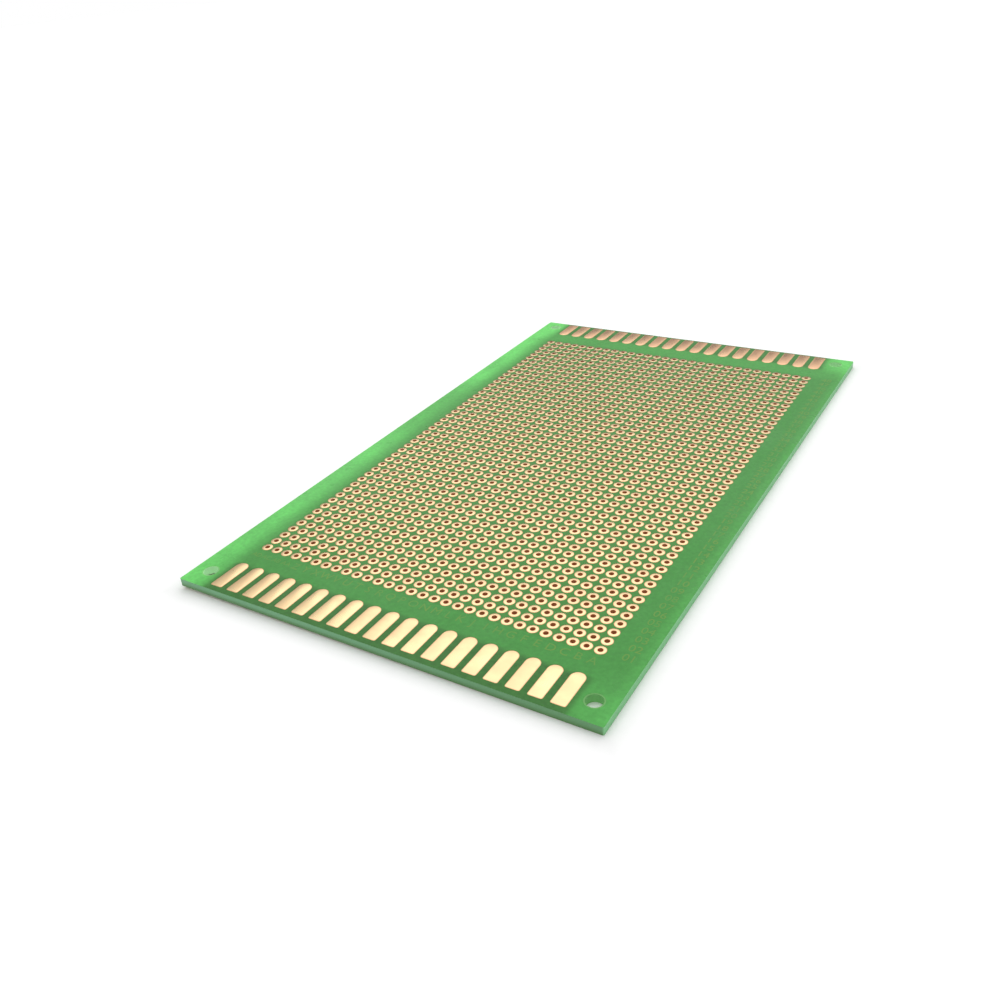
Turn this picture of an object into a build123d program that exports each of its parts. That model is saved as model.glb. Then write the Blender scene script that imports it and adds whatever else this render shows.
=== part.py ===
from build123d import *
from build123d.topology import SkipClean

import os

# Prototype circuit board, single sided: a glass-epoxy laminate drilled all over with lead holes,
# a copper pad around each hole, a row of copper contact fingers along both short ends, and a green
# solder mask that leaves the copper bare. All lengths are in millimetres.
# The board lies on its plain side. +X is across it, +Y along it, +Z up through the copper side,
# and the origin is the middle of its underside. The front is the end at -Y.

# Laminate
board_width = 90.0
board_length = 150.0
board_thickness = 1.6
board_corner_radius = 0.3

# The drilled and etched pattern, screw holes too, lies this far behind the middle of the board.
# Distances from the board's ends are given for a pattern in the middle
pattern_offset = 0.5

# Four screw holes, one near each corner
corner_hole_diameter = 3.0
corner_hole_side_inset = 3.75
corner_hole_end_inset = 4.1

# Lead holes on a square grid, and the clear gap between the pads around them
hole_pitch = 2.54
lead_hole_diameter = 1.0
pad_gap = 0.34

# Contact fingers: square towards the board's end, round towards the pads
finger_pitch = 4.064
finger_gap = 1.314
finger_length = 8.2
finger_corner_radius = 0.35
finger_end_margin = 0.8
finger_to_corner_hole = 0.4

# Bare bands that hold the grid's letters and numbers: at the ends and along the sides
legend_end_band = 5.0
legend_side_band = 6.5

# Copper foil and solder mask, with the bare laminate that shows around each opening in the mask
copper_thickness = 0.035
mask_thickness = 0.03
mask_clearance = 0.06
corner_hole_mask_clearance = 0.25

# Sizes that follow from those above
pad_diameter = hole_pitch - pad_gap
finger_width = finger_pitch - finger_gap
corner_hole_spacing_x = board_width - 2 * corner_hole_side_inset
corner_hole_spacing_y = board_length - 2 * corner_hole_end_inset

# The pads fill what the bands and the fingers leave
pad_field_width = board_width - 2 * legend_side_band
pad_field_length = board_length - 2 * (finger_end_margin + finger_length + legend_end_band)
hole_columns = int((pad_field_width - pad_diameter) / hole_pitch) + 1
hole_rows = int((pad_field_length - pad_diameter) / hole_pitch) + 1

# The fingers fill the width between the corner holes
finger_side_margin = corner_hole_side_inset + corner_hole_diameter / 2 + finger_to_corner_hole
finger_field_width = board_width - 2 * finger_side_margin
finger_count = int((finger_field_width - finger_width) / finger_pitch) + 1

# A sheet over the whole board is laid out as one strip for each column of holes, with a margin
# along each side and a band across each end
strip_length = hole_rows * hole_pitch
margin_width = (board_width - hole_columns * hole_pitch) / 2
band_length = (board_length - strip_length) / 2

# The copper and the mask lie on the laminate's upper face. On a plane turned half round, what is
# drawn for the front end comes out at the rear end. Shift is how much further from an end the
# pattern lies than in the middle
underside = Plane.XY
copper_face = underside.offset(board_thickness)
half_turn = (0, 0, 180)
front_shift = pattern_offset
rear_shift = -pattern_offset


def finger_row(shift, margin, mode=Mode.ADD):
    """One end's contact fingers, drawn at the front, each larger by margin all round, within a sketch."""
    radius = finger_width / 2 + margin
    straight_end = finger_length - finger_width / 2
    with BuildSketch(mode=Mode.PRIVATE) as finger:
        with BuildLine():
            Polyline((-radius, straight_end), (-radius, -margin), (radius, -margin), (radius, straight_end))
            RadiusArc((radius, straight_end), (-radius, straight_end), -radius)
        make_face()
        outer_corners = finger.vertices().group_by(Axis.Y)[0]
        fillet(outer_corners, radius=finger_corner_radius + margin)
    with Locations((0, finger_end_margin + shift - board_length / 2)):
        with GridLocations(finger_pitch, 0, finger_count, 1):
            add(finger.sketch, mode=mode)


def column_strip(plane, thickness, opening_diameter):
    """The strip of a sheet that holds one column of the grid, open at each hole."""
    with BuildPart() as strip:
        with BuildSketch(plane):
            Rectangle(hole_pitch, strip_length)
            with GridLocations(0, hole_pitch, 1, hole_rows):
                Circle(opening_diameter / 2, mode=Mode.SUBTRACT)
        extrude(amount=thickness)
    return strip.part


def side_margin(plane, thickness):
    """The plain margin of a sheet beside the grid."""
    with BuildPart() as margin:
        with BuildSketch(plane):
            Rectangle(margin_width, strip_length)
        extrude(amount=thickness)
    return margin.part


def end_band(plane, thickness, shift, corner_opening_diameter, bare_fingers):
    """The band of a sheet across one end, drawn at the front, open at its corner holes and bare fingers."""
    length = band_length + shift
    with BuildPart() as band:
        with BuildSketch(plane) as outline:
            with Locations((0, (length - board_length) / 2)):
                Rectangle(board_width, length)
            outer_corners = outline.vertices().group_by(Axis.Y)[0]
            fillet(outer_corners, radius=board_corner_radius)
            with Locations((0, shift - corner_hole_spacing_y / 2)):
                with GridLocations(corner_hole_spacing_x, 0, 2, 1):
                    Circle(corner_opening_diameter / 2, mode=Mode.SUBTRACT)
            if bare_fingers:
                finger_row(shift, mask_clearance, mode=Mode.SUBTRACT)
        extrude(amount=thickness)
    return band.part


def join_sheet(strip, margin, front_band, rear_band):
    """Strips, margins and end bands side by side as one solid, within a part."""
    with Locations((0, pattern_offset)):
        with GridLocations(hole_pitch, 0, hole_columns, 1):
            add(strip, clean=False)
        with GridLocations(board_width - margin_width, 0, 2, 1):
            add(margin, clean=False)
    add(front_band, clean=False)
    add(rear_band, rotation=half_turn, clean=False)


os.makedirs("parts", exist_ok=True)

# Laminate, drilled through for the leads and the screws. The seams between its strips stay on its
# faces, because a face with well over a thousand holes is slow to work with
laminate_strip = column_strip(underside, board_thickness, lead_hole_diameter)
laminate_margin = side_margin(underside, board_thickness)
laminate_front = end_band(underside, board_thickness, front_shift, corner_hole_diameter, bare_fingers=False)
laminate_rear = end_band(underside, board_thickness, rear_shift, corner_hole_diameter, bare_fingers=False)
with SkipClean():
    with BuildPart() as laminate:
        join_sheet(laminate_strip, laminate_margin, laminate_front, laminate_rear)
laminate.part.label = "laminate"
export_step(laminate.part, "parts/laminate.step")

# Solder mask, open around every pad, finger and corner hole
pad_opening = pad_diameter + 2 * mask_clearance
corner_opening = corner_hole_diameter + 2 * corner_hole_mask_clearance
mask_strip = column_strip(copper_face, mask_thickness, pad_opening)
mask_margin = side_margin(copper_face, mask_thickness)
mask_front = end_band(copper_face, mask_thickness, front_shift, corner_opening, bare_fingers=True)
mask_rear = end_band(copper_face, mask_thickness, rear_shift, corner_opening, bare_fingers=True)
with SkipClean():
    with BuildPart() as solder_mask:
        join_sheet(mask_strip, mask_margin, mask_front, mask_rear)
solder_mask.part.label = "solder_mask"
export_step(solder_mask.part, "parts/solder_mask.step")

# Contact fingers along the front end
with BuildPart() as front_contact_fingers:
    with BuildSketch(copper_face):
        finger_row(front_shift, 0)
    extrude(amount=copper_thickness)
front_contact_fingers.part.label = "front_contact_fingers"
export_step(front_contact_fingers.part, "parts/front_contact_fingers.step")

# The same along the rear end
with BuildPart() as rear_contact_fingers:
    with BuildSketch(copper_face.rotated(half_turn)):
        finger_row(rear_shift, 0)
    extrude(amount=copper_thickness)
rear_contact_fingers.part.label = "rear_contact_fingers"
export_step(rear_contact_fingers.part, "parts/rear_contact_fingers.step")

# Pads, one group for each column of the grid, counted from the right as the board's letters are
first_column_x = (hole_columns - 1) * hole_pitch / 2
for column in range(hole_columns):
    with BuildPart() as pad_column:
        with BuildSketch(copper_face):
            with Locations((first_column_x - column * hole_pitch, pattern_offset)):
                with GridLocations(0, hole_pitch, 1, hole_rows):
                    Circle(pad_diameter / 2)
                    Circle(lead_hole_diameter / 2, mode=Mode.SUBTRACT)
        extrude(amount=copper_thickness)
    column_name = f"pad_column_{column + 1:02d}"
    pad_column.part.label = column_name
    export_step(pad_column.part, f"parts/{column_name}.step")
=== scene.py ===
"""A prototype circuit board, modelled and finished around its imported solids.

The file is laid out as an add-on and is run as a script. Pieces are drawn in millimetres, with the
origin in the middle of the board's underside, and are scaled to metres when they are finished,
because the operator that fills a flat outline takes points under 0.03 units apart for one.
"""

import contextlib
import math

import bmesh
import bpy
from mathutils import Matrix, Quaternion, Vector


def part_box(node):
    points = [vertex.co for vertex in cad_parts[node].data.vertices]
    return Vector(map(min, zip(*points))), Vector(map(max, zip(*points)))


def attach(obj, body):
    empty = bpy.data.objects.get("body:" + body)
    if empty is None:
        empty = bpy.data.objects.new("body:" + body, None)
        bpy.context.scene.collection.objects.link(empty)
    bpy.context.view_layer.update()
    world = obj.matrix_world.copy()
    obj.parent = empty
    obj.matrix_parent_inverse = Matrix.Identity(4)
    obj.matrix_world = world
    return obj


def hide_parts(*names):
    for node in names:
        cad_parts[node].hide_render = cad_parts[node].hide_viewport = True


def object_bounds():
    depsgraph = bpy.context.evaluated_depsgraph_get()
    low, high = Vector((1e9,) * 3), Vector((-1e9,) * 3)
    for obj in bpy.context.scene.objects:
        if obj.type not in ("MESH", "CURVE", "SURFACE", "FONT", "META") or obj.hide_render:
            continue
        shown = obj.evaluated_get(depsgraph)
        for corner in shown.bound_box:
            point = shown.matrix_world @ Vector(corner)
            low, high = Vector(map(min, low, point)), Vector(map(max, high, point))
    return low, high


bl_info = {
    "name": "Prototype circuit board",
    "version": (1, 0, 0),
    "blender": (4, 5, 0),
    "location": "3D View > Sidebar > Circuit board",
    "description": "Models and finishes a drilled circuit board around its packed solids",
    "category": "Object",
}

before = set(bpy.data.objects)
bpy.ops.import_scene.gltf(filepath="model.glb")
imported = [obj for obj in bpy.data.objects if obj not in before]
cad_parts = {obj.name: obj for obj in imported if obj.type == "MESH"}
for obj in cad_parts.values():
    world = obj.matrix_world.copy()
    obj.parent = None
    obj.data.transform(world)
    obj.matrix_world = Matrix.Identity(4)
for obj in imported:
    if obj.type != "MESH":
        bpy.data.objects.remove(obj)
cad_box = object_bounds()

MILLIMETRE = 0.001
BODY = "root"

# Points nearer than this are one point, in millimetres
SAME_POINT = 0.001

# Straight sides that stand for a circle: the small ones repeat over a thousand times
SMALL_ROUND_SIDES = 16
CORNER_HOLE_SIDES = 40
SMALL_CORNER_SIDES = 4
FINGER_END_SIDES = 10
LETTER_CURVE_SIDES = 3

# How far a normal points up: less than this on a wall, and between these on an etched slope
WALL_NORMAL = 0.5
SLOPE_NORMALS = (0.05, 0.99)

# Edges that turn more than this stay sharp
SMOOTH_ANGLE = math.radians(40)

# A finger's edge stands upright for this share of the copper's thickness, and slopes above it
FINGER_LIP_SHARE = 0.25

# Letters stand this share of the copper's extra height above the mask, and double letters are smaller
LEGEND_RELIEF = 0.8
DOUBLE_LETTER_SHARE = 0.62

# Glass cloth in the laminate: the width of a thread and the thickness of a ply, in metres
GLASS_THREAD = 0.0005
GLASS_PLY = 0.0002

# How far the plies waver in the sawn edge, in radians of their wave
PLY_WAVER = 5.0

# Size of the soft patches in each finish, in metres
LAMINATE_PATCHES = 0.012
MASK_PATCHES = 0.007
COPPER_PATCHES = 0.004
RIM_PATCHES = 0.001
LEGEND_PATCHES = 0.003
PAPER_PATCHES = 0.02

# Depth of each kind of relief, in metres
WEAVE_DEPTH = 0.00001
MASK_DEPTH = 0.000006
BRUSH_DEPTH = 0.000003
GRAIN_DEPTH = 0.000004

# Brush marks in a metre of copper: across the board, along it and through it
BRUSH_MARKS = (12000.0, 900.0, 1.0)

# How much rougher dulled patches of copper are, and how much the mask's grain counts beside its weave
PATCH_ROUGHNESS = 0.08
GRAIN_WEIGHT = 1.5

# A wall's finish passes into a face's while the normal points up between these
WALL_TO_FACE = (0.3, 0.7)

# How much of one colour is mixed into another
RESIN_CLOUDS = 0.35
BARE_RING_STAIN = 0.85
# Painted light and shade: paler long sawn edges, corner holes paler towards the rear, copper darker towards
# the rear
LONG_EDGE_SHARE = 0.7
SCREW_HOLE_REAR_SHARE = 0.6
REAR_PAINTED_SHADE = 0.8
PATCH_TARNISH = 0.3
RIM_TARNISH = 0.5
LEGEND_WEAR = 0.45
PAD_BURR_SHARE = 0.9

# The burr around a lead hole reaches this many of the hole's radii from its middle
PAD_BURR_REACH = 1.36

# Painted shade: how much darker the sawn edge is on the right, how high its darker foot is, as a share of
# the board's thickness, and how much darker the mask is between the fingers
SAWN_EDGE_RIGHT_SHADE = 0.5
SAWN_EDGE_FOOT = 0.7
FINGER_GAP_SHADE = 0.32

# Painted light near the laminate's edges, for light that comes up through it: how far from an edge it
# starts and is full, in metres
LEFT_GLOW = (0.008, 0.002)
RIGHT_GLOW = (0.0025, 0.0)
CORNER_GLOW_SIDE = (0.009, 0.003)
CORNER_GLOW_END = (0.015, 0.001)
REAR_GLOW = (0.016, 0.012)

# How strong that painted light is: on the left and at the corners it differs between the front and the rear
LEFT_GLOW_SHARES = (0.82, 1.0)
RIGHT_GLOW_SHARE = 0.2
CORNER_GLOW_SHARES = (0.25, 0.9)
REAR_GLOW_SHARE = 0.16

# The left side has a stretch of painted shade, where less of the painted light shows: its middle along the
# board, how far from there it starts and is full, in metres, and how much light it takes away
SHADE_DIP_MIDDLE = 0.009
SHADE_DIP_STRETCH = (0.024, 0.006)
SHADE_DIP_SHARE = 0.42

# The map that finishes are baked through: its name, the space around each side of the board on it and
# the width of a wall turned out flat, in metres
BAKE_MAP = "OFBake"
BAKE_MAP_SPACE = 0.002
BAKE_MAP_WALL = 0.0003

# Floor, in metres: it touches the board along its right side and falls away towards its left side
FLOOR_SIZE = 8.0
FLOOR_GAP = 0.00002
FLOOR_FALL = 0.0006

# How much the floor is lifted to white, and how far from the board that is full, in metres
FLOOR_LIFT = 0.42
FLOOR_LIFT_REACH = 0.3
FLOOR_LIFT_NEAR = 0.1
FLOOR_LIFT_NEAR_REACH = 0.006

# Shades of the paper and of the light, as linear colours
PAPER_DARK = (0.93, 0.93, 0.93)
PAPER_PALE = (0.96, 0.96, 0.96)
WHITE = (1.0, 1.0, 1.0)

# Light from around: its strength, its share at the horizon, and how far up it grows from that to full
WORLD_LIGHT = 0.90
HORIZON_SHARE = 0.3
SKY_FADE = (0.26, 0.6)

# Lamp, in metres and watts
SOFTBOX_PLACE = (-0.161, 0.428, 0.653)
SOFTBOX_SIZE = 1.0
SOFTBOX_WATTS = 2.9

# Camera: places and the nearest distance seen in metres, sensor and lens in millimetres
CAMERA_PLACE = (0.09147, -0.16731, 0.10118)
CAMERA_AIM = (-0.00497, -0.02189, 0.0)
CAMERA_NEAREST = 0.001
CAMERA_ROLL = math.radians(-4.955)
CAMERA_SENSOR = 36.0
CAMERA_LENS = 34.01

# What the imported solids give
plate_low, plate_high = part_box("laminate")
film_low, film_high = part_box("solder_mask")
fingers_low, fingers_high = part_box("front_contact_fingers")
pad_nodes = sorted(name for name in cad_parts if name.startswith("pad_column_"))
first_pads_low, first_pads_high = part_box(pad_nodes[0])
last_pads_low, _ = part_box(pad_nodes[-1])
column_count = len(pad_nodes)
packed_pad_diameter = first_pads_high.x - first_pads_low.x
packed_pitch = (first_pads_low.x - last_pads_low.x) / (column_count - 1)
row_count = round((first_pads_high.y - first_pads_low.y - packed_pad_diameter) / packed_pitch) + 1
# The drilled and etched pattern lies off the board's middle, along it
pattern_middle = (first_pads_low.y + first_pads_high.y) / 2


def length_setting(name, description, default):
    """A length that a user may change, in metres."""
    return bpy.props.FloatProperty(
        name=name, description=description, default=default, min=0.0, precision=5, unit="LENGTH"
    )


def colour_setting(name, description, default):
    """A colour that a user may change, in linear light."""
    return bpy.props.FloatVectorProperty(
        name=name, description=description, default=default, min=0.0, max=1.0, subtype="COLOR"
    )


class BoardSizes(bpy.types.PropertyGroup):
    """Sizes of the board's details, at their real scale."""

    hole_pitch: length_setting("Hole pitch", "Distance between lead holes, both ways", packed_pitch)
    hole_diameter: length_setting("Lead hole", "Width of each lead hole", 0.001)
    pad_diameter: length_setting("Pad", "Width of the pad around each lead hole", packed_pad_diameter)
    etched_rim: length_setting("Etched rim", "Width of the slope that etching leaves on copper", 0.0001)
    mask_clearance: length_setting("Mask clearance", "Bare ring between the copper and the mask", 0.00006)
    corner_hole_diameter: length_setting("Corner hole", "Width of each screw hole", 0.003)
    corner_hole_side_inset: length_setting("Corner hole from side", "To the hole's middle", 0.00375)
    corner_hole_end_inset: length_setting("Corner hole from end", "The mean of both ends", 0.0041)
    corner_hole_ring: length_setting("Corner hole ring", "Bare ring around each screw hole", 0.00025)
    board_corner_radius: length_setting("Board corner", "Rounding of the board's corners", 0.0003)
    finger_width: length_setting("Finger width", "Width of each contact finger", 0.00275)
    finger_pitch: length_setting("Finger pitch", "Distance between contact fingers", 0.004064)
    finger_corner_radius: length_setting("Finger corner", "Rounding of a finger's outer end", 0.00035)
    letter_size: length_setting("Letters", "Type size of the letters that name the columns", 0.0026)
    number_size: length_setting("Numbers", "Type size of the numbers that name the rows", 0.0025)
    letter_inset: length_setting("Letters from end", "From the front edge to the letters' middle", 0.0128)
    number_inset: length_setting("Numbers from side", "From the right edge to the numbers' middle", 0.0031)


class BoardColours(bpy.types.PropertyGroup):
    """Colours of the board's finishes."""

    mask_green: colour_setting("Mask", "Solder mask over the middle of the board", (0.058, 0.285, 0.050))
    # Painted light: the mask's colour where light is painted in near the board's edges
    mask_margin: colour_setting("Mask at margin", "Mask where light comes through", (0.16, 0.70, 0.15))
    # Painted shade: the mask's darker colour among the pads and fingers
    mask_among_copper: colour_setting(
        "Mask among copper", "Solder mask between pads or fingers", (0.058, 0.245, 0.04)
    )
    resin: colour_setting("Resin", "Bare glass-epoxy laminate", (0.46, 0.55, 0.29))
    glass_thread: colour_setting("Glass thread", "Woven glass that shows in the resin", (0.56, 0.62, 0.38))
    cut_edge: colour_setting("Cut edge", "Sawn edge of the laminate", (0.15, 0.39, 0.19))
    cut_edge_glass: colour_setting("Cut edge, glass", "Glass plies in the sawn edge", (0.26, 0.53, 0.30))
    # Painted shade at the sawn edge's foot and towards its right-hand side
    cut_edge_low: colour_setting("Cut edge, foot", "Sawn edge near the underside", (0.12, 0.27, 0.10))
    # Painted light: the long sawn edges are paler
    long_edge: colour_setting("Long edge", "Sawn edge that light comes out of", (0.30, 0.74, 0.35))
    # Lead-hole walls: a darker red-brown than the resin
    lead_hole: colour_setting("Lead hole", "Scorched wall of a drilled lead hole", (0.57, 0.24, 0.09))
    screw_hole: colour_setting("Screw hole", "Wall of a corner hole", (0.22, 0.55, 0.19))
    # Painted light: corner-hole walls paler to the left and rear
    screw_hole_pale: colour_setting("Screw hole, pale", "Wall where light comes through", (0.62, 1.0, 0.60))
    copper: colour_setting("Copper", "Bare copper foil", (0.77, 0.58, 0.32))
    # Tarnish patches, and on the fingers also painted shade towards the rear
    copper_tarnish: colour_setting("Tarnish", "Patches where the copper has dulled", (0.68, 0.41, 0.24))
    # Tarnish patches, and painted shade that darkens the pads towards the rear
    pad_tarnish: colour_setting("Pad tarnish", "Pads that have dulled towards the rear", (0.52, 0.44, 0.26))
    copper_rim: colour_setting("Copper rim", "Etched rim of the copper", (0.70, 0.36, 0.22))
    legend: colour_setting("Letters", "Letters and numbers that show through the mask", (0.13, 0.30, 0.042))


def mm(metres):
    """A length in metres as millimetres."""
    return metres / MILLIMETRE


def front_left_hole(sizes):
    """Where the lead hole at the front left is, across the board and along it, in millimetres."""
    pitch = mm(sizes.hole_pitch)
    return -(column_count - 1) * pitch / 2, mm(pattern_middle) - (row_count - 1) * pitch / 2


def field_half_size(sizes):
    """Half the width and half the length of the field of lead holes, in metres."""
    return column_count * sizes.hole_pitch / 2, row_count * sizes.hole_pitch / 2


def start_piece():
    """Deselects everything, so that the operators act on the new piece alone."""
    bpy.ops.object.select_all(action="DESELECT")


def apply_place():
    """Puts the selected pieces' place, turn and scale into their meshes."""
    bpy.ops.object.transform_apply(location=True, rotation=True, scale=True)


@contextlib.contextmanager
def editing():
    """Edit mode on the active piece, and object mode again afterwards."""
    bpy.ops.object.mode_set(mode="EDIT")
    yield
    bpy.ops.object.mode_set(mode="OBJECT")


def select_everything():
    """In edit mode, selects the whole mesh."""
    bpy.ops.mesh.select_all(action="SELECT")


def select_where(kind, wanted):
    """In edit mode, selects the vertices, edges or faces for which wanted is true, and nothing else."""
    bpy.ops.mesh.select_mode(type=kind)
    bpy.ops.mesh.select_all(action="DESELECT")
    mesh = bmesh.from_edit_mesh(bpy.context.object.data)
    members = {"VERT": mesh.verts, "EDGE": mesh.edges, "FACE": mesh.faces}[kind]
    for member in members:
        if wanted(member):
            member.select_set(True)
    bmesh.update_edit_mesh(bpy.context.object.data)


def merge_points():
    """In edit mode, merges all points that lie on one another."""
    select_everything()
    bpy.ops.mesh.remove_doubles(threshold=SAME_POINT)


def turn_faces_out():
    """In edit mode, turns the faces of a closed shape outwards."""
    select_everything()
    bpy.ops.mesh.normals_make_consistent(inside=False)


def repeat(piece, count, step):
    """Copies the active piece's mesh into a row of count, each a step from the last."""
    bpy.ops.object.modifier_add(type="ARRAY")
    row = piece.modifiers[-1]
    row.use_relative_offset = False
    row.use_constant_offset = True
    row.constant_offset_displace = step
    row.count = count
    bpy.ops.object.modifier_apply(modifier=row.name)


def repeat_over_field(piece, sizes):
    """Copies the active piece's mesh from the front left lead hole to all the others."""
    pitch = mm(sizes.hole_pitch)
    repeat(piece, column_count, (pitch, 0, 0))
    repeat(piece, row_count, (0, pitch, 0))


def finish_piece(piece, name, nodes, finishes):
    """Scales a piece to metres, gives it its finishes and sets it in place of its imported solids."""
    piece.name = name
    piece.data.name = name
    piece.scale = (MILLIMETRE, MILLIMETRE, MILLIMETRE)
    apply_place()
    bpy.ops.object.shade_smooth_by_angle(angle=SMOOTH_ANGLE)
    for finish in finishes:
        piece.data.materials.append(finish)
    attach(piece, BODY)
    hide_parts(*nodes)


def lay_out_for_baking(piece):
    """Gives a flat piece its bake map: both sides side by side, and walls turned out into openings."""
    mesh = piece.data
    outward = {}
    for face in mesh.polygons:
        if abs(face.normal.z) < WALL_NORMAL:
            for vertex in face.vertices:
                outward[vertex] = outward.get(vertex, Vector()) + face.normal
    heights = [vertex.co.z for vertex in mesh.vertices]
    half_height = (min(heights) + max(heights)) / 2
    side_width = plate_high.x - plate_low.x + 2 * BAKE_MAP_SPACE
    side_length = plate_high.y - plate_low.y + 2 * BAKE_MAP_SPACE
    scale = 1.0 / max(2 * side_width, side_length)
    corner = Vector((BAKE_MAP_SPACE - plate_low.x, BAKE_MAP_SPACE - plate_low.y, 0.0))
    places = []
    for face in mesh.polygons:
        is_wall = abs(face.normal.z) < WALL_NORMAL
        start = corner.copy()
        if face.normal.z < -WALL_NORMAL:
            start.x += side_width
        for vertex in face.vertices:
            place = start + mesh.vertices[vertex].co
            if is_wall and heights[vertex] < half_height:
                place += outward[vertex].normalized() * BAKE_MAP_WALL
            places += (place.x * scale, place.y * scale)
    mesh.uv_layers.new(name=BAKE_MAP).data.foreach_set("uv", places)


# Flat outlines and sheets

def finger_faces(sizes, margin, height):
    """The front row of contact fingers as flat faces, each larger by margin all round."""
    width = mm(sizes.finger_width) + 2 * margin
    outer_end = mm(fingers_low.y) - margin
    inner_end = mm(fingers_high.y) + margin
    first_x = mm(fingers_low.x + sizes.finger_width / 2)
    row_width = fingers_high.x - fingers_low.x - sizes.finger_width
    start_piece()
    bpy.ops.mesh.primitive_plane_add(size=1, location=(first_x, (outer_end + inner_end) / 2, height))
    fingers = bpy.context.object
    fingers.scale = (width, inner_end - outer_end, 1)
    apply_place()
    with editing():
        select_where("VERT", lambda corner: corner.co.y < outer_end + SAME_POINT)
        corner_radius = mm(sizes.finger_corner_radius) + margin
        bpy.ops.mesh.bevel(offset=corner_radius, segments=SMALL_CORNER_SIDES, affect="VERTICES")
        select_where("VERT", lambda corner: corner.co.y > inner_end - SAME_POINT)
        bpy.ops.mesh.bevel(offset=width / 2, segments=FINGER_END_SIDES, affect="VERTICES")
        merge_points()
    repeat(fingers, round(row_width / sizes.finger_pitch) + 1, (mm(sizes.finger_pitch), 0, 0))
    return fingers


def turn_to_rear(piece):
    """Turns the active piece half round, from the pattern's front end to its rear end."""
    piece.rotation_euler.z = math.pi
    piece.location.y = 2 * mm(pattern_middle)
    apply_place()


def finger_openings(sizes, height):
    """The outlines of the mask's openings around both rows of contact fingers."""
    openings = finger_faces(sizes, mm(sizes.mask_clearance), height)
    with editing():
        select_everything()
        bpy.ops.mesh.delete(type="ONLY_FACE")
    bpy.ops.object.duplicate()
    turn_to_rear(bpy.context.object)
    return [openings, bpy.context.object]


def drilled_field(sizes, height, opening_diameter):
    """A flat sheet over the field of lead holes, open at each hole. It is the active object."""
    pitch = mm(sizes.hole_pitch)
    first_cell = (*front_left_hole(sizes), height)
    start_piece()
    bpy.ops.mesh.primitive_circle_add(
        vertices=4, radius=pitch / math.sqrt(2), location=first_cell, rotation=(0, 0, math.pi / 4)
    )
    sheet = bpy.context.object
    apply_place()
    # One cell is a square with a round opening, and its sides are divided to match the opening
    with editing():
        select_everything()
        bpy.ops.mesh.subdivide(number_cuts=SMALL_ROUND_SIDES // 4 - 1)
        bpy.ops.mesh.primitive_circle_add(
            vertices=SMALL_ROUND_SIDES, radius=opening_diameter / 2, location=first_cell
        )
        select_everything()
        bpy.ops.mesh.bridge_edge_loops()
    repeat_over_field(sheet, sizes)
    with editing():
        merge_points()
    return sheet


def board_sheet(sizes, low, high, opening_diameter, corner_diameter, openings=()):
    """A closed sheet over the whole board, open at its holes and at the outlines in openings."""
    border_x, border_y = map(mm, field_half_size(sizes))

    def on_border(point):
        """Whether a point lies on the border of the field of lead holes."""
        from_middle = abs(point.co.y - mm(pattern_middle))
        return abs(point.co.x) > border_x - SAME_POINT or from_middle > border_y - SAME_POINT

    def around_margins(edge):
        """Whether an edge is part of an outline or of the field's border."""
        return edge.is_wire or (edge.is_boundary and all(map(on_border, edge.verts)))

    height = mm(low.z)
    sheet = drilled_field(sizes, height, opening_diameter)
    for opening in openings:
        opening.select_set(True)
    if openings:
        bpy.ops.object.join()
    with editing():
        bpy.ops.mesh.primitive_plane_add(size=1, location=(0, 0, height))
        board_size = (mm(high.x - low.x), mm(high.y - low.y), 1)
        bpy.ops.transform.resize(value=board_size, center_override=(0, 0, height))
        corner_radius = mm(sizes.board_corner_radius)
        bpy.ops.mesh.bevel(offset=corner_radius, segments=SMALL_CORNER_SIDES, affect="VERTICES")
        bpy.ops.mesh.delete(type="ONLY_FACE")
        for side in (-1, 1):
            for end in (-1, 1):
                x = side * mm(high.x - sizes.corner_hole_side_inset)
                y = mm(pattern_middle) + end * mm(high.y - sizes.corner_hole_end_inset)
                bpy.ops.mesh.primitive_circle_add(
                    vertices=CORNER_HOLE_SIDES, radius=corner_diameter / 2, location=(x, y, height)
                )
        # The margins are filled between the field's border and all the outlines
        select_where("EDGE", around_margins)
        bpy.ops.mesh.fill(use_beauty=False)
        select_everything()
        bpy.ops.mesh.extrude_region_move(TRANSFORM_OT_translate={"value": (0, 0, mm(high.z - low.z))})
        turn_faces_out()
    return sheet


# Nodes

def feed(tree, socket, value):
    """Links an output to a socket, or sets the socket to a plain value or an opaque colour."""
    if isinstance(value, bpy.types.NodeSocket):
        tree.links.new(value, socket)
    elif socket.type == "RGBA":
        socket.default_value = (*value, 1.0)
    else:
        socket.default_value = value


def add_node(tree, kind, inputs=None, **settings):
    """Adds a node. inputs gives its sockets' values, or the outputs that are linked to them."""
    node = tree.nodes.new(kind)
    for setting, value in settings.items():
        setattr(node, setting, value)
    for socket, value in (inputs or {}).items():
        feed(tree, node.inputs[socket], value)
    return node


def calculate(tree, operation, *values, clamp=False):
    """The result of a Math node."""
    inputs = dict(enumerate(values))
    return add_node(tree, "ShaderNodeMath", inputs, operation=operation, use_clamp=clamp).outputs[0]


def multiply(tree, first, second):
    """The product of two values."""
    return calculate(tree, "MULTIPLY", first, second)


def calculate_vector(tree, operation, inputs):
    """The outputs of a Vector Math node."""
    return add_node(tree, "ShaderNodeVectorMath", inputs, operation=operation).outputs


def separate(tree, vector):
    """The X, Y and Z of a vector."""
    return add_node(tree, "ShaderNodeSeparateXYZ", {0: vector}).outputs


def fade(tree, value, start, end):
    """Rises smoothly from 0 where value is start to 1 where it is end."""
    inputs = {"Value": value, "From Min": start, "From Max": end}
    node = add_node(tree, "ShaderNodeMapRange", inputs, interpolation_type="SMOOTHSTEP")
    return node.outputs["Result"]


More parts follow.
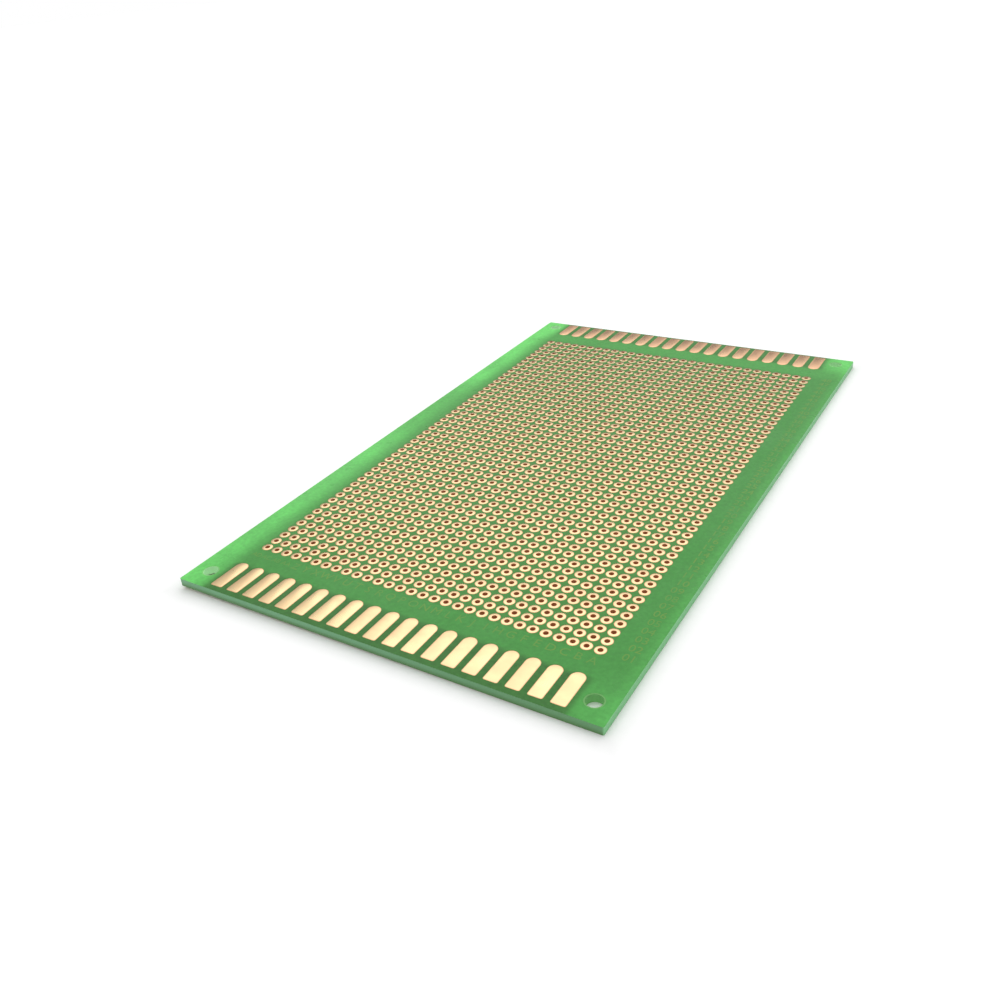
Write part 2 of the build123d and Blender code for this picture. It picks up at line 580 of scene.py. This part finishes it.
def between(tree, share, none, full):
    """Goes from none, where share is 0, to full, where it is 1."""
    return calculate(tree, "MULTIPLY_ADD", share, full - none, none)


def from_wave(tree, wave):
    """Brings a value between -1 and 1 to between 0 and 1."""
    return calculate(tree, "MULTIPLY_ADD", wave, 0.5, 0.5)


def mix_colours(tree, amount, first, second, blend_type="MIX"):
    """The first colour, mixed by amount with the second."""
    # The node's sockets for single values and vectors come before those for colours
    inputs = {0: amount, 6: first, 7: second}
    return add_node(tree, "ShaderNodeMix", inputs, data_type="RGBA", blend_type=blend_type).outputs[2]


def new_group(name, inputs, outputs):
    """An empty shader node group, with its input and output nodes."""
    group = bpy.data.node_groups.new(name, "ShaderNodeTree")
    for socket, kind in inputs.items():
        group.interface.new_socket(socket, in_out="INPUT", socket_type=kind)
    for socket, kind in outputs.items():
        group.interface.new_socket(socket, in_out="OUTPUT", socket_type=kind)
    return group, group.nodes.new("NodeGroupInput").outputs, group.nodes.new("NodeGroupOutput").inputs


def build_hole_distance(name):
    """Distance from the middle of the nearest lead hole, on a grid with a whole cell each side of 0."""
    inputs = {"Coordinates": "NodeSocketVector", "Pitch": "NodeSocketFloat"}
    group, given, result = new_group(name, inputs, {"Distance": "NodeSocketFloat"})
    per_pitch = calculate(group, "DIVIDE", 1.0, given["Pitch"])
    cells = calculate_vector(group, "SCALE", {0: given["Coordinates"], "Scale": per_pitch})[0]
    within = calculate_vector(group, "FRACTION", {0: cells})[0]
    centred = calculate_vector(group, "SUBTRACT", {0: within, 1: (0.5, 0.5, 0.0)})[0]
    flat = calculate_vector(group, "MULTIPLY", {0: centred, 1: (1.0, 1.0, 0.0)})[0]
    away = calculate_vector(group, "LENGTH", {0: flat})["Value"]
    group.links.new(multiply(group, away, given["Pitch"]), result["Distance"])
    return group


def build_mottle(name):
    """Soft patches of a given size, and a finer grain a tenth as large."""
    inputs = {"Coordinates": "NodeSocketVector", "Patch size": "NodeSocketFloat"}
    outputs = {"Patches": "NodeSocketFloat", "Grain": "NodeSocketFloat"}
    group, given, result = new_group(name, inputs, outputs)
    per_patch = calculate(group, "DIVIDE", 1.0, given["Patch size"])
    sockets = {"Vector": given["Coordinates"], "Scale": per_patch, "Detail": 3.0, "Roughness": 0.55}
    patches = add_node(group, "ShaderNodeTexNoise", sockets)
    sockets["Scale"] = multiply(group, per_patch, 10.0)
    grain = add_node(group, "ShaderNodeTexNoise", sockets)
    group.links.new(fade(group, patches.outputs[0], 0.3, 0.7), result["Patches"])
    group.links.new(grain.outputs[0], result["Grain"])
    return group


def build_weave(name):
    """Height of a plain weave of glass threads: warp and weft cross over by turns."""
    inputs = {"Coordinates": "NodeSocketVector", "Thread": "NodeSocketFloat"}
    group, given, result = new_group(name, inputs, {"Height": "NodeSocketFloat"})
    place = separate(group, given["Coordinates"])
    half_turns = calculate(group, "DIVIDE", math.pi, given["Thread"])
    warp_wave = calculate(group, "SINE", multiply(group, place["X"], half_turns))
    weft_wave = calculate(group, "SINE", multiply(group, place["Y"], half_turns))
    warp = calculate(group, "ABSOLUTE", warp_wave)
    weft = calculate(group, "ABSOLUTE", weft_wave)
    turns = multiply(group, warp_wave, weft_wave)
    warp_over = from_wave(group, turns)
    weft_over = calculate(group, "SUBTRACT", 1.0, warp_over)
    warp_height = multiply(group, warp, warp_over)
    weft_height = multiply(group, weft, weft_over)
    group.links.new(calculate(group, "ADD", warp_height, weft_height), result["Height"])
    return group


def build_margin_glow(name):
    """Share of painted light, for light that comes up through the laminate: at its sides, its rear end and
    its corners.
    """
    inputs = {"Coordinates": "NodeSocketVector"}
    group, given, result = new_group(name, inputs, {"Share": "NodeSocketFloat"})
    place = separate(group, given["Coordinates"])
    from_left = calculate(group, "SUBTRACT", place["X"], plate_low.x)
    from_right = calculate(group, "SUBTRACT", plate_high.x, place["X"])
    from_rear = calculate(group, "SUBTRACT", plate_high.y, place["Y"])
    from_side = calculate(group, "MINIMUM", from_left, from_right)
    from_end = calculate(group, "SUBTRACT", plate_high.y, calculate(group, "ABSOLUTE", place["Y"]))
    rear = fade(group, place["Y"], plate_low.y / 2, plate_high.y)

    def scaled(light, share):
        """A light that is share as strong. Two shares are its strength at the front and at the rear."""
        if isinstance(share, tuple):
            share = between(group, rear, *share)
        return multiply(group, light, share)

    # Painted shade: less painted light along a stretch of the left side
    from_shade_dip = calculate(group, "ABSOLUTE", calculate(group, "SUBTRACT", place["Y"], SHADE_DIP_MIDDLE))
    dull = between(group, fade(group, from_shade_dip, *SHADE_DIP_STRETCH), 1.0, 1.0 - SHADE_DIP_SHARE)
    left = scaled(scaled(fade(group, from_left, *LEFT_GLOW), LEFT_GLOW_SHARES), dull)
    right = scaled(fade(group, from_right, *RIGHT_GLOW), RIGHT_GLOW_SHARE)
    rear_end = scaled(fade(group, from_rear, *REAR_GLOW), REAR_GLOW_SHARE)
    corner = scaled(fade(group, from_side, *CORNER_GLOW_SIDE), fade(group, from_end, *CORNER_GLOW_END))
    corner = scaled(corner, CORNER_GLOW_SHARES)
    # A corner adds half as much where its side is fully lit
    beside = calculate(group, "MAXIMUM", left, right)
    room = between(group, beside, 1.0, 0.5)
    share = calculate(group, "MULTIPLY_ADD", corner, room, beside)
    group.links.new(calculate(group, "MAXIMUM", share, rear_end), result["Share"])
    return group


def use_group(tree, name, build, inputs):
    """Places a shared node group, built the first time, in a finish, and returns its outputs."""
    group = bpy.data.node_groups.get(name) or build(name)
    return add_node(tree, "ShaderNodeGroup", inputs, node_tree=group).outputs


def mottled(tree, coordinates, patch_size):
    """The soft patches and the grain of a finish."""
    return use_group(tree, "Mottle", build_mottle, {"Coordinates": coordinates, "Patch size": patch_size})


def woven(tree, coordinates):
    """Height of the laminate's glass cloth."""
    inputs = {"Coordinates": coordinates, "Thread": GLASS_THREAD}
    return use_group(tree, "Glass weave", build_weave, inputs)["Height"]


def margin_glow(tree, coordinates):
    """Share of painted light, for light that comes up through the laminate."""
    return use_group(tree, "Margin glow", build_margin_glow, {"Coordinates": coordinates})["Share"]


def lead_hole_distance(tree, coordinates, sizes):
    """Distance from the middle of the nearest lead hole, in metres."""
    centred = calculate_vector(tree, "SUBTRACT", {0: coordinates, 1: (0.0, pattern_middle, 0.0)})[0]
    inputs = {"Coordinates": centred, "Pitch": sizes.hole_pitch}
    return use_group(tree, "Hole distance", build_hole_distance, inputs)["Distance"]


# Finishes

def new_finish(name):
    """A new finish: the material, its nodes and the piece's own coordinates."""
    finish = bpy.data.materials.new(name)
    finish.use_nodes = True
    coordinates = add_node(finish.node_tree, "ShaderNodeTexCoord").outputs["Object"]
    return finish, finish.node_tree, coordinates


def set_shader(finish, **sockets):
    """Sets or links the sockets of a finish's shader, whose names have _ for each space."""
    shader = finish.node_tree.nodes["Principled BSDF"]
    for name, value in sockets.items():
        feed(finish.node_tree, shader.inputs[name.replace("_", " ")], value)


def bump(tree, height, depth, strength=1.0):
    """A surface normal from a height of 0 to 1, which stands for depth in metres."""
    inputs = {"Height": height, "Distance": depth, "Strength": strength}
    return add_node(tree, "ShaderNodeBump", inputs).outputs["Normal"]


def sawn_edge(tree, colours, sizes, place, grain):
    """Colour of the plate's sawn edges, with painted shade and light. The plies lie flat in the plate and
    show as wavering lines.
    """
    ply_turns = multiply(tree, place["Z"], math.tau / GLASS_PLY)
    wavering = calculate(tree, "MULTIPLY_ADD", grain, PLY_WAVER, ply_turns)
    plies = from_wave(tree, calculate(tree, "SINE", wavering))
    sawn = mix_colours(tree, plies, colours.cut_edge, colours.cut_edge_glass)
    # Painted shade: it is darker towards its foot and towards the right-hand side
    height = fade(tree, place["Z"], plate_low.z, SAWN_EDGE_FOOT * plate_high.z)
    to_right = fade(tree, place["X"], plate_low.x / 2, plate_high.x)
    right_shade = between(tree, to_right, 1.0, 1.0 - SAWN_EDGE_RIGHT_SHADE)
    pale = multiply(tree, height, right_shade)
    sawn = mix_colours(tree, pale, colours.cut_edge_low, sawn)
    # Painted light: the long sawn edges are paler
    across = calculate(tree, "ABSOLUTE", place["X"])
    long_side = fade(tree, across, plate_high.x - sizes.board_corner_radius, plate_high.x)
    long_side = multiply(tree, long_side, LONG_EDGE_SHARE)
    return mix_colours(tree, long_side, sawn, colours.long_edge)


def hole_wall(tree, colours, sizes, place):
    """Colour of holes' walls: a darker red-brown in lead holes, and painted light, paler to the left and
    rear, in corner holes.
    """
    half_width, half_length = field_half_size(sizes)
    across = calculate(tree, "ABSOLUTE", place["X"])
    along = calculate(tree, "ABSOLUTE", calculate(tree, "SUBTRACT", place["Y"], pattern_middle))
    in_columns = calculate(tree, "LESS_THAN", across, half_width)
    in_rows = calculate(tree, "LESS_THAN", along, half_length)
    in_field = multiply(tree, in_columns, in_rows)
    # Painted light in the corner holes, stronger to the left and towards the rear
    lit_left = fade(tree, place["X"], plate_high.x / 2, plate_low.x / 2)
    to_rear = fade(tree, place["Y"], plate_low.y / 2, plate_high.y / 2)
    lit_rear = multiply(tree, to_rear, SCREW_HOLE_REAR_SHARE)
    lit = calculate(tree, "MAXIMUM", lit_left, lit_rear)
    screw_hole = mix_colours(tree, lit, colours.screw_hole, colours.screw_hole_pale)
    return mix_colours(tree, in_field, screw_hole, colours.lead_hole)


def glass_epoxy(colours, sizes):
    """Bare laminate: woven glass in resin, sawn edges that show the plies with painted shade and light,
    darker red-brown lead holes.
    """
    finish, tree, coordinates = new_finish("glass_epoxy")
    weave = woven(tree, coordinates)
    mottle = mottled(tree, coordinates, LAMINATE_PATCHES)
    threads = mix_colours(tree, weave, colours.resin, colours.glass_thread)
    cloudy = multiply(tree, mottle["Patches"], RESIN_CLOUDS)
    face = mix_colours(tree, cloudy, threads, colours.resin)
    # Upright faces are sawn edges at the outline, and the walls of holes inside it
    place = separate(tree, coordinates)
    edge = sawn_edge(tree, colours, sizes, place, mottle["Grain"])
    hole = hole_wall(tree, colours, sizes, place)
    across = calculate(tree, "ABSOLUTE", place["X"])
    along = calculate(tree, "ABSOLUTE", place["Y"])
    in_sides = calculate(tree, "LESS_THAN", across, plate_high.x - 2 * sizes.board_corner_radius)
    in_ends = calculate(tree, "LESS_THAN", along, plate_high.y - 2 * sizes.board_corner_radius)
    wall = mix_colours(tree, multiply(tree, in_sides, in_ends), edge, hole)
    # What the mask leaves bare of the copper side is stained green by the mask around it, and paler with
    # painted light near the edges
    glow = margin_glow(tree, coordinates)
    stain_and_painted_light = mix_colours(tree, glow, colours.mask_green, colours.mask_margin)
    upward = separate(tree, add_node(tree, "ShaderNodeNewGeometry").outputs["Normal"])["Z"]
    copper_side = multiply(tree, fade(tree, upward, *WALL_TO_FACE), BARE_RING_STAIN)
    lying = fade(tree, calculate(tree, "ABSOLUTE", upward), *WALL_TO_FACE)
    plate = mix_colours(tree, copper_side, face, stain_and_painted_light)
    set_shader(
        finish,
        Base_Color=mix_colours(tree, lying, wall, plate),
        Roughness=between(tree, weave, 0.6, 0.45),
        Normal=bump(tree, weave, WEAVE_DEPTH, 0.5),
        Specular_IOR_Level=0.3,
    )
    return finish


def green_mask(colours, sizes):
    """Solder mask: glossy green, mottled, with painted shade among the copper and painted light where light
    comes through the laminate.
    """
    finish, tree, coordinates = new_finish("green_mask")
    mottle = mottled(tree, coordinates, MASK_PATCHES)
    place = separate(tree, coordinates)
    across = calculate(tree, "ABSOLUTE", place["X"])
    along = calculate(tree, "ABSOLUTE", calculate(tree, "SUBTRACT", place["Y"], pattern_middle))
    # Painted shade: the mask is darker among the copper, most of all between the contact fingers
    half_width, half_length = field_half_size(sizes)
    half_gap = (sizes.hole_pitch - sizes.pad_diameter) / 2
    in_columns = fade(tree, across, half_width, half_width - half_gap)
    in_rows = fade(tree, along, half_length, half_length - half_gap)
    in_field = multiply(tree, in_columns, in_rows)
    half_finger = sizes.finger_width / 2
    finger_ends = pattern_middle - fingers_high.y
    in_finger_row = fade(tree, along, finger_ends - sizes.finger_corner_radius, finger_ends + half_finger)
    in_row_width = fade(tree, across, fingers_high.x + half_finger, fingers_high.x)
    among_fingers = multiply(tree, in_finger_row, in_row_width)
    among = calculate(tree, "MAXIMUM", in_field, among_fingers)
    plain = mix_colours(tree, among, colours.mask_green, colours.mask_among_copper)
    uneven = between(tree, mottle["Patches"], 0.75, 1.05)
    # Painted light: the mask is paler near the board's edges
    through = multiply(tree, margin_glow(tree, coordinates), uneven)
    lit = mix_colours(tree, through, plain, colours.mask_margin)
    grain_shade = between(tree, mottle["Grain"], 0.75, 1.25)
    # Painted shade between the fingers, on top of the grain's random tone
    shade = calculate(tree, "MULTIPLY_ADD", among_fingers, -FINGER_GAP_SHADE, grain_shade)
    grey = add_node(tree, "ShaderNodeCombineColor", {0: shade, 1: shade, 2: shade}).outputs[0]
    relief = calculate(tree, "MULTIPLY_ADD", mottle["Grain"], GRAIN_WEIGHT, woven(tree, coordinates))
    set_shader(
        finish,
        Base_Color=mix_colours(tree, 1.0, lit, grey, "MULTIPLY"),
        Roughness=between(tree, mottle["Patches"], 0.27, 0.37),
        Normal=bump(tree, relief, MASK_DEPTH, 0.5),
        Specular_IOR_Level=0.16,
    )
    return finish


def copper_foil(name, copper, tarnish_and_shade):
    """Copper foil: satin, brushed, dulled in patches, with painted shade towards the rear. Its colour isn't
    linked yet.
    """
    finish, tree, coordinates = new_finish(name)
    mottle = mottled(tree, coordinates, COPPER_PATCHES)
    stretched = add_node(tree, "ShaderNodeMapping", {"Vector": coordinates, "Scale": BRUSH_MARKS})
    brush_inputs = {"Vector": stretched.outputs[0], "Scale": 1.0, "Detail": 2.0}
    brush = add_node(tree, "ShaderNodeTexNoise", brush_inputs).outputs[0]
    roughness = between(tree, brush, 0.2, 0.34)
    set_shader(
        finish,
        Metallic=1.0,
        Roughness=calculate(tree, "MULTIPLY_ADD", mottle["Patches"], PATCH_ROUGHNESS, roughness),
        Normal=bump(tree, brush, BRUSH_DEPTH, 0.35),
    )
    # Painted shade: the copper darkens towards the rear, where it reflects less light
    to_rear = fade(tree, separate(tree, coordinates)["Y"], plate_low.y / 2, plate_high.y)
    shade_to_rear = multiply(tree, to_rear, REAR_PAINTED_SHADE)
    dull = calculate(tree, "MULTIPLY_ADD", mottle["Patches"], PATCH_TARNISH, shade_to_rear, clamp=True)
    foil = mix_colours(tree, dull, copper, tarnish_and_shade)
    return finish, tree, coordinates, foil


def finger_copper(colours):
    """The contact fingers' copper."""
    finish, _, _, foil = copper_foil("finger_copper", colours.copper, colours.copper_tarnish)
    set_shader(finish, Base_Color=foil)
    return finish


def pad_copper(colours, sizes):
    """The pads' copper, which is redder at the drilled edge."""
    finish, tree, coordinates, foil = copper_foil("pad_copper", colours.copper, colours.pad_tarnish)
    away = lead_hole_distance(tree, coordinates, sizes)
    hole_radius = sizes.hole_diameter / 2
    drilled_edge = fade(tree, away, PAD_BURR_REACH * hole_radius, hole_radius)
    burr = multiply(tree, drilled_edge, PAD_BURR_SHARE)
    set_shader(finish, Base_Color=mix_colours(tree, burr, foil, colours.copper_rim))
    return finish


def etched_copper(colours):
    """The slope that etching leaves around copper: rougher and redder than its face."""
    finish, tree, coordinates = new_finish("etched_copper")
    mottle = mottled(tree, coordinates, RIM_PATCHES)
    dull = multiply(tree, mottle["Patches"], RIM_TARNISH)
    set_shader(
        finish,
        Base_Color=mix_colours(tree, dull, colours.copper_rim, colours.copper_tarnish),
        Metallic=1.0,
        Roughness=between(tree, mottle["Grain"], 0.4, 0.6),
        Normal=bump(tree, mottle["Grain"], GRAIN_DEPTH, 0.5),
    )
    return finish


def legend_green(colours):
    """Letters etched in copper under the mask: the same gloss, an olive green that wears thin."""
    finish, tree, coordinates = new_finish("legend_green")
    mottle = mottled(tree, coordinates, LEGEND_PATCHES)
    thin = multiply(tree, mottle["Patches"], LEGEND_WEAR)
    set_shader(
        finish,
        Base_Color=mix_colours(tree, thin, colours.legend, colours.mask_green),
        Roughness=between(tree, mottle["Grain"], 0.25, 0.4),
        Normal=bump(tree, mottle["Grain"], GRAIN_DEPTH, 0.4),
        Specular_IOR_Level=0.2,
    )
    return finish


def shared_finish(make, *settings):
    """The finish that is named as its maker, made the first time that a piece asks for it."""
    return bpy.data.materials.get(make.__name__) or make(*settings)


# Pieces

class BOARD_OT_laminate(bpy.types.Operator):
    """Models the drilled glass-epoxy plate"""

    bl_idname = "board.laminate"
    bl_label = "Drilled laminate"

    def execute(self, context):
        sizes = context.scene.board_sizes
        hole = mm(sizes.hole_diameter)
        plate = board_sheet(sizes, plate_low, plate_high, hole, mm(sizes.corner_hole_diameter))
        finishes = [shared_finish(glass_epoxy, context.scene.board_colours, sizes)]
        finish_piece(plate, "drilled_laminate", ["laminate"], finishes)
        lay_out_for_baking(plate)
        return {"FINISHED"}


class BOARD_OT_mask(bpy.types.Operator):
    """Models the solder mask, open around the copper and the corner holes"""

    bl_idname = "board.solder_mask"
    bl_label = "Solder mask"

    def execute(self, context):
        sizes = context.scene.board_sizes
        pad_opening = mm(sizes.pad_diameter + 2 * sizes.mask_clearance)
        corner_opening = mm(sizes.corner_hole_diameter + 2 * sizes.corner_hole_ring)
        fingers = finger_openings(sizes, mm(film_low.z))
        film = board_sheet(sizes, film_low, film_high, pad_opening, corner_opening, fingers)
        finishes = [shared_finish(green_mask, context.scene.board_colours, sizes)]
        finish_piece(film, "mask_film", ["solder_mask"], finishes)
        lay_out_for_baking(film)
        return {"FINISHED"}


class BOARD_OT_pads(bpy.types.Operator):
    """Models one copper pad, with its etched slope, and copies it to every lead hole"""

    bl_idname = "board.copper_pads"
    bl_label = "Copper pads"

    def execute(self, context):
        sizes = context.scene.board_sizes
        colours = context.scene.board_colours
        inner = mm(sizes.hole_diameter) / 2
        outer = mm(sizes.pad_diameter) / 2
        base = mm(first_pads_low.z)
        top = mm(first_pads_high.z)
        # The pad's section is drawn upright, sloped at its outer side, and spun round the hole
        start_piece()
        middle = ((inner + outer) / 2, 0, (base + top) / 2)
        bpy.ops.mesh.primitive_plane_add(size=1, location=middle, rotation=(math.pi / 2, 0, 0))
        pads = bpy.context.object
        pads.scale = (outer - inner, top - base, 1)
        apply_place()
        with editing():
            bpy.ops.mesh.delete(type="ONLY_FACE")
            select_where("VERT", lambda point: point.co.x > middle[0] and point.co.z > middle[2])
            bpy.ops.transform.translate(value=(-mm(sizes.etched_rim), 0, 0))
            select_everything()
            bpy.ops.mesh.spin(steps=SMALL_ROUND_SIDES, angle=math.tau, center=(0, 0, 0), axis=(0, 0, 1))
            merge_points()
            turn_faces_out()
        pads.location = (*front_left_hole(sizes), 0)
        apply_place()
        repeat_over_field(pads, sizes)
        finishes = [
            shared_finish(pad_copper, colours, sizes),
            shared_finish(etched_copper, colours),
        ]
        finish_piece(pads, "copper_pads", pad_nodes, finishes)
        finish_slopes(pads)
        lay_out_for_baking(pads)
        return {"FINISHED"}


def finish_slopes(piece):
    """Gives the sloping faces of a copper piece its second finish."""
    steepest, flattest = SLOPE_NORMALS
    with editing():
        select_where("FACE", lambda face: steepest < face.normal.z < flattest)
        piece.active_material_index = 1
        bpy.ops.object.material_slot_assign()


class BOARD_OT_fingers(bpy.types.Operator):
    """Models the contact fingers along both short ends"""

    bl_idname = "board.contact_fingers"
    bl_label = "Contact fingers"

    def execute(self, context):
        sizes = context.scene.board_sizes
        colours = context.scene.board_colours
        finishes = [
            shared_finish(finger_copper, colours),
            shared_finish(etched_copper, colours),
        ]
        foil = mm(fingers_high.z - fingers_low.z)
        lip = foil * FINGER_LIP_SHARE
        for end in ("front", "rear"):
            fingers = finger_faces(sizes, 0, mm(fingers_low.z))
            with editing():
                select_everything()
                bpy.ops.mesh.extrude_region_move(TRANSFORM_OT_translate={"value": (0, 0, lip)})
                bpy.ops.mesh.inset(thickness=mm(sizes.etched_rim), depth=foil - lip)
                turn_faces_out()
            if end == "rear":
                turn_to_rear(fingers)
            finish_piece(fingers, f"{end}_fingers", [f"{end}_contact_fingers"], finishes)
            finish_slopes(fingers)
        return {"FINISHED"}


class BOARD_OT_legend(bpy.types.Operator):
    """Models the letters that name the columns and the numbers that name the rows"""

    bl_idname = "board.grid_legend"
    bl_label = "Grid letters and numbers"

    def execute(self, context):
        sizes = context.scene.board_sizes
        colours = context.scene.board_colours
        pitch = mm(sizes.hole_pitch)
        finishes = [shared_finish(legend_green, colours)]
        left_column, front_row = front_left_hole(sizes)
        right_column = -left_column
        letters = []
        for column in range(column_count):
            name = column_name(column)
            size = mm(sizes.letter_size) * (1.0 if len(name) == 1 else DOUBLE_LETTER_SHARE)
            place = (right_column - column * pitch, mm(plate_low.y + sizes.letter_inset))
            letters.append(grid_mark(name, size, place))
        join_marks(letters, "grid_letters", finishes)
        numbers = []
        for row in range(row_count):
            place = (mm(plate_high.x - sizes.number_inset), front_row + row * pitch)
            numbers.append(grid_mark(f"{row + 1:02d}", mm(sizes.number_size), place))
        join_marks(numbers, "grid_numbers", finishes)
        return {"FINISHED"}


def column_name(column):
    """A, B, C and so on, then AA, AB and so on."""
    first = "ABCDEFGHIJKLMNOPQRSTUVWXYZ"
    if column < len(first):
        return first[column]
    return first[0] + first[column - len(first)]


def grid_mark(words, size, place):
    """A letter or number that stands a little above the mask, as a mesh."""
    start_piece()
    relief = mm(cad_box[1].z - film_high.z) * LEGEND_RELIEF
    bpy.ops.object.text_add(location=(*place, mm(film_high.z)))
    mark = bpy.context.object
    mark.data.body = words
    mark.data.size = size
    mark.data.align_x = "CENTER"
    mark.data.align_y = "CENTER"
    mark.data.resolution_u = LETTER_CURVE_SIDES
    mark.data.extrude = relief
    bpy.ops.object.convert(target="MESH")
    apply_place()
    return bpy.context.object


def join_marks(marks, name, finishes):
    """Joins the marks of a row into one piece."""
    start_piece()
    for mark in marks:
        mark.select_set(True)
    bpy.context.view_layer.objects.active = marks[0]
    bpy.ops.object.join()
    with editing():
        merge_points()
        turn_faces_out()
    finish_piece(marks[0], name, [], finishes)


# Stage

def shown_rays(tree):
    """1 for what the camera, gloss and glass see, and 0 for light that falls on the object."""
    ray = add_node(tree, "ShaderNodeLightPath").outputs
    seen = calculate(tree, "ADD", ray["Is Camera Ray"], ray["Is Glossy Ray"])
    return calculate(tree, "ADD", seen, ray["Is Transmission Ray"], clamp=True)


def white_floor():
    """Matt white paper. Away from the board, where less light falls, it is lifted to white."""
    finish, tree, coordinates = new_finish("white_paper")
    grain = mottled(tree, coordinates, PAPER_PATCHES)["Grain"]
    place = separate(tree, coordinates)
    past_side = calculate(tree, "SUBTRACT", calculate(tree, "ABSOLUTE", place["X"]), plate_high.x)
    past_end = calculate(tree, "SUBTRACT", calculate(tree, "ABSOLUTE", place["Y"]), plate_high.y)
    away = calculate(tree, "MAXIMUM", past_side, past_end)
    near = multiply(tree, fade(tree, away, 0.0, FLOOR_LIFT_NEAR_REACH), FLOOR_LIFT_NEAR)
    lift = calculate(tree, "MULTIPLY_ADD", fade(tree, away, 0.0, FLOOR_LIFT_REACH), FLOOR_LIFT, near)
    set_shader(
        finish,
        Base_Color=mix_colours(tree, grain, PAPER_DARK, PAPER_PALE),
        Roughness=0.9,
        Specular_IOR_Level=0.1,
        Emission_Color=WHITE,
        Emission_Strength=multiply(tree, shown_rays(tree), lift),
    )
    return finish


def light_world():
    """Soft white light from above, weaker towards the horizon. The camera sees plain white."""
    world = bpy.context.scene.world or bpy.data.worlds.new("Studio")
    bpy.context.scene.world = world
    world.use_nodes = True
    tree = world.node_tree
    tree.nodes.clear()
    towards = add_node(tree, "ShaderNodeTexCoord").outputs["Generated"]
    up = separate(tree, towards)["Z"]
    sky = between(tree, fade(tree, up, *SKY_FADE), HORIZON_SHARE, 1.0)
    ray = add_node(tree, "ShaderNodeLightPath").outputs
    white = calculate(tree, "MAXIMUM", sky, ray["Is Camera Ray"])
    lamp = multiply(tree, sky, WORLD_LIGHT)
    seen = shown_rays(tree)
    falling = multiply(tree, lamp, calculate(tree, "SUBTRACT", 1.0, seen))
    level = calculate(tree, "MULTIPLY_ADD", white, seen, falling)
    glow = add_node(tree, "ShaderNodeBackground", {"Color": WHITE, "Strength": level})
    add_node(tree, "ShaderNodeOutputWorld", {"Surface": glow.outputs[0]})


def softbox(name, place, aim, size, watts):
    """A square area lamp at place that shines at aim."""
    bpy.ops.object.light_add(type="AREA", location=place)
    lamp = bpy.context.object
    lamp.name = name
    lamp.data.shape = "SQUARE"
    lamp.data.size = size
    lamp.data.energy = watts
    lamp.rotation_euler = (Vector(aim) - Vector(place)).to_track_quat("-Z", "Y").to_euler()


class BOARD_OT_stage(bpy.types.Operator):
    """Sets up the white floor, the soft studio light and the camera"""

    bl_idname = "board.stage"
    bl_label = "Studio stage"

    def execute(self, context):
        start_piece()
        middle = (0, 0, cad_box[0].z - FLOOR_GAP - FLOOR_FALL / 2)
        bpy.ops.mesh.primitive_plane_add(size=FLOOR_SIZE, location=middle)
        floor = bpy.context.object
        floor.name = "floor"
        floor.rotation_euler.y = -math.atan(FLOOR_FALL / (plate_high.x - plate_low.x))
        apply_place()
        floor.data.materials.append(white_floor())
        light_world()
        softbox("overhead_softbox", SOFTBOX_PLACE, (0, 0, 0), SOFTBOX_SIZE, SOFTBOX_WATTS)
        bpy.ops.object.camera_add(location=CAMERA_PLACE)
        camera = bpy.context.object
        looking = (Vector(CAMERA_AIM) - Vector(CAMERA_PLACE)).to_track_quat("-Z", "Y")
        camera.rotation_euler = (looking @ Quaternion((0, 0, 1), CAMERA_ROLL)).to_euler()
        camera.data.sensor_width = CAMERA_SENSOR
        camera.data.lens = CAMERA_LENS
        camera.data.clip_start = CAMERA_NEAREST
        context.scene.camera = camera
        context.scene.view_settings.view_transform = "Standard"
        return {"FINISHED"}


class BOARD_PT_sidebar(bpy.types.Panel):
    """Lists the board's pieces, sizes and colours"""

    bl_idname = "BOARD_PT_sidebar"
    bl_label = "Circuit board"
    bl_space_type = "VIEW_3D"
    bl_region_type = "UI"
    bl_category = "Circuit board"

    def draw(self, context):
        for piece in piece_operators:
            self.layout.operator(piece.bl_idname)
        for settings in (context.scene.board_sizes, context.scene.board_colours):
            column = self.layout.column(align=True)
            for name in settings.bl_rna.properties.keys():
                if name not in ("rna_type", "name"):
                    column.prop(settings, name)


piece_operators = (
    BOARD_OT_laminate,
    BOARD_OT_mask,
    BOARD_OT_pads,
    BOARD_OT_fingers,
    BOARD_OT_legend,
    BOARD_OT_stage,
)
classes = (BoardSizes, BoardColours, *piece_operators, BOARD_PT_sidebar)


def register():
    """Adds the board's settings, operators and sidebar."""
    for member in classes:
        bpy.utils.register_class(member)
    bpy.types.Scene.board_sizes = bpy.props.PointerProperty(type=BoardSizes)
    bpy.types.Scene.board_colours = bpy.props.PointerProperty(type=BoardColours)


def unregister():
    """Takes them out again."""
    del bpy.types.Scene.board_colours
    del bpy.types.Scene.board_sizes
    for member in reversed(classes):
        bpy.utils.unregister_class(member)


def main():
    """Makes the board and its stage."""
    register()
    bpy.ops.board.laminate()
    bpy.ops.board.solder_mask()
    bpy.ops.board.copper_pads()
    bpy.ops.board.contact_fingers()
    bpy.ops.board.grid_legend()
    bpy.ops.board.stage()


if __name__ == "__main__":
    main()
